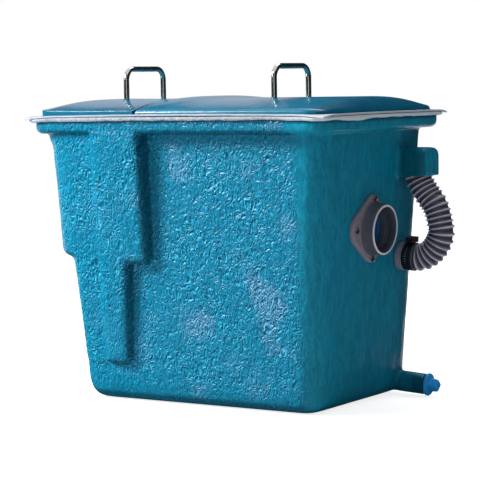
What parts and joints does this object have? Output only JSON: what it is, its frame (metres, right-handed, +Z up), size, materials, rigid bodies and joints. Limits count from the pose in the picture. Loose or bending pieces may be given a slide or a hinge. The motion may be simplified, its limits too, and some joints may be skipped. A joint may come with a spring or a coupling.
{
  "type": "grease trap",
  "caption": "Moulded fibreglass grease trap with two lift-off lids, rod handles, flanged pipe outlets, strainer basket, baffle, drain hose and screw-in drain plug.",
  "frame": {"origin": "middle of the rim's outline, on the floor under the tank", "axes": "+X along the tank's length from the inlet end to the outlet end, +Y to the back, where the hose and the drain are, +Z up"},
  "size_m": [0.4802, 0.305, 0.412],
  "materials": {
    "gelcoat": "blue-green gelcoat over wrinkled glass-fibre laminate",
    "lid_gelcoat": "smooth glossy blue-green gelcoat",
    "raw_laminate": "bare mottled light grey laminate",
    "bonding_paste": "hand-run light grey paste",
    "rubber": "black rubber",
    "stainless_steel": "polished stainless steel",
    "grey_pvc": "dark grey PVC",
    "light_grey_pvc": "light grey PVC",
    "blue_pvc": "blue PVC",
    "hose_pvc": "grey flexible ribbed PVC",
    "basket_plastic": "light grey moulded plastic",
    "brass": "yellow-passivated metal"
  },
  "bodies": {
    "trap": {"tank": "gelcoat", "rim_sheet": "raw_laminate", "bonding_bead": "bonding_paste", "lid_seal": "rubber", "left_lid": "lid_gelcoat", "right_lid": "lid_gelcoat", "left_handle": "stainless_steel", "left_handle_front_washer": "stainless_steel", "left_handle_front_nut": "stainless_steel", "left_handle_back_washer": "stainless_steel", "left_handle_back_nut": "stainless_steel", "right_handle": "stainless_steel", "right_handle_front_washer": "stainless_steel", "right_handle_front_nut": "stainless_steel", "right_handle_back_washer": "stainless_steel", "right_handle_back_nut": "stainless_steel", "outlet_fitting": "grey_pvc", "outlet_screw_1": "stainless_steel", "outlet_screw_2": "stainless_steel", "outlet_screw_3": "stainless_steel", "outlet_screw_4": "stainless_steel", "outlet_pipe": "blue_pvc", "outlet_tee": "blue_pvc", "outlet_drop_pipe": "blue_pvc", "inlet_fitting": "grey_pvc", "inlet_screw_1": "stainless_steel", "inlet_screw_2": "stainless_steel", "inlet_screw_3": "stainless_steel", "inlet_screw_4": "stainless_steel", "inlet_pipe": "blue_pvc", "baffle": "gelcoat", "strainer_basket": "basket_plastic", "drain_hose": "hose_pvc", "hose_tail": "light_grey_pvc", "hose_tail_nut": "light_grey_pvc", "clamp_band": "stainless_steel", "clamp_housing": "brass", "clamp_screw": "stainless_steel"},
    "gasket": {"plug_gasket": "rubber"},
    "plug": {"drain_plug": "blue_pvc"}
  },
  "joints": [
    {"name": "plug_travel", "type": "slide", "parent": "trap", "child": "gasket", "axis": [0.9981, 0, -0.0616], "range_m": [0, 0.0108]},
    {"name": "plug_turn", "type": "hinge", "parent": "gasket", "child": "plug", "pos_m": [0.21108, 0.094, 0.0147], "axis": [0.9981, 0, -0.0616], "range_deg": [0, 2160]}
  ],
  "couplings": [
    {"joint": "plug_travel", "follows": "plug_turn", "m_per_rad": 0.00028648}
  ]
}
